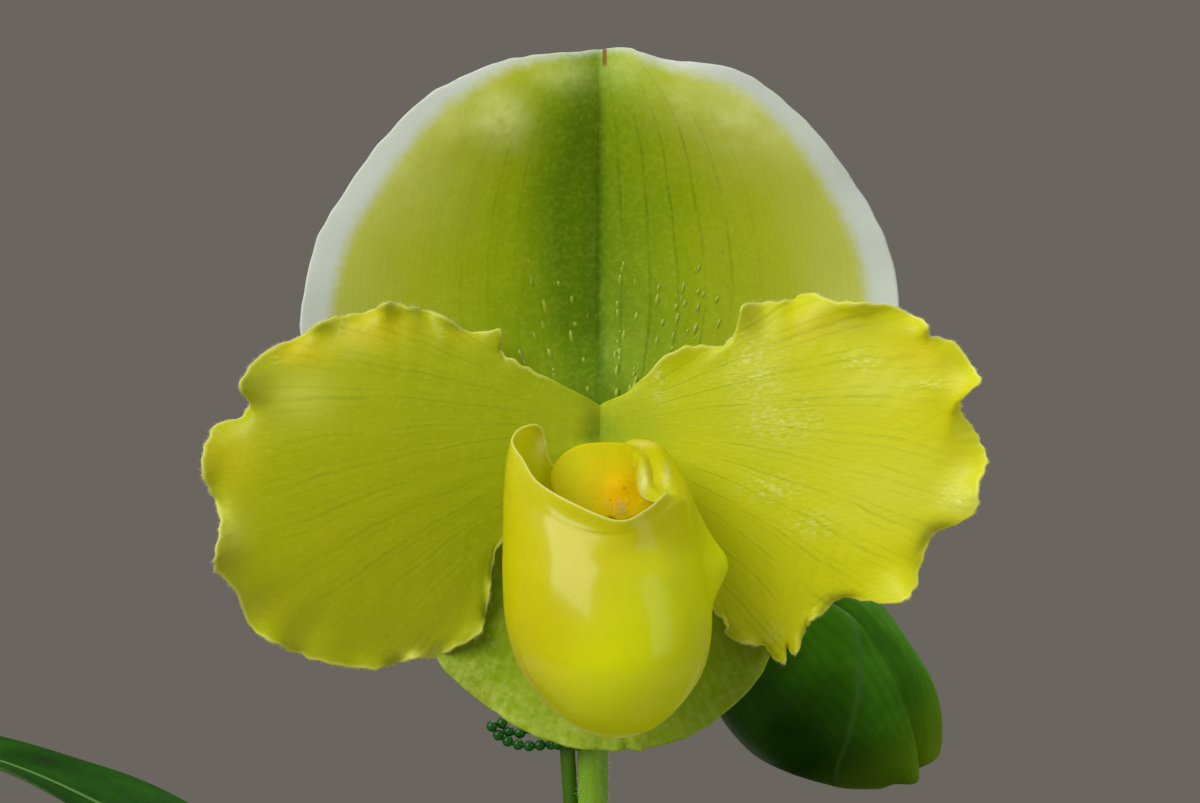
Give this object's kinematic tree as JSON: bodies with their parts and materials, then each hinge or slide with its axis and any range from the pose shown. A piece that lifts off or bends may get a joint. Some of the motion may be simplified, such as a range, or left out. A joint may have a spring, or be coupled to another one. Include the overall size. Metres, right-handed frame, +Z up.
{
  "type": "paphiopedilum orchid in a pot",
  "caption": "Potted slipper orchid: a yellow-green flower with a pouch and a second bud on a staked stem above strap leaves, in a plain clay pot.",
  "frame": {"origin": "centre of the pot's flat underside, on the surface that the pot stands on", "axes": "+Z up along the flower stem, -Y the way the flower looks, +X to the viewer's right"},
  "size_m": [0.3471, 0.2227, 0.3182],
  "materials": {
    "terracotta": "unglazed clay, matte, with a little mineral bloom",
    "bark": "rough bark chips",
    "leaf": "waxy leaf, satin",
    "stem": "green stem with fine hairs",
    "stake": "smooth green coating",
    "tie": "moulded beads, satin",
    "bud": "dark green, waxy",
    "sepal": "waxy, green with a white edge",
    "petal": "waxy yellow-green with fine green veins",
    "pouch": "smooth yellow, shiny",
    "column": "golden yellow, shiny"
  },
  "bodies": {
    "root": {"pot": "terracotta", "potting_bark": "bark", "leaf_a1": "leaf", "leaf_a2": "leaf", "leaf_a3": "leaf", "leaf_a4": "leaf", "leaf_a5": "leaf", "leaf_b1": "leaf", "leaf_b2": "leaf", "leaf_b3": "leaf", "flower_stem": "stem", "bloom_bract": "stem", "bud_bract": "stem", "stake": "stake", "bead_tie": "tie", "bud_dorsal_sepal": "bud", "bud_synsepal": "bud", "bud_petals": "bud", "dorsal_sepal": "sepal", "synsepal": "sepal", "petal_left": "petal", "petal_right": "petal", "pouch": "pouch", "column": "column"}
  },
  "joints": []
}
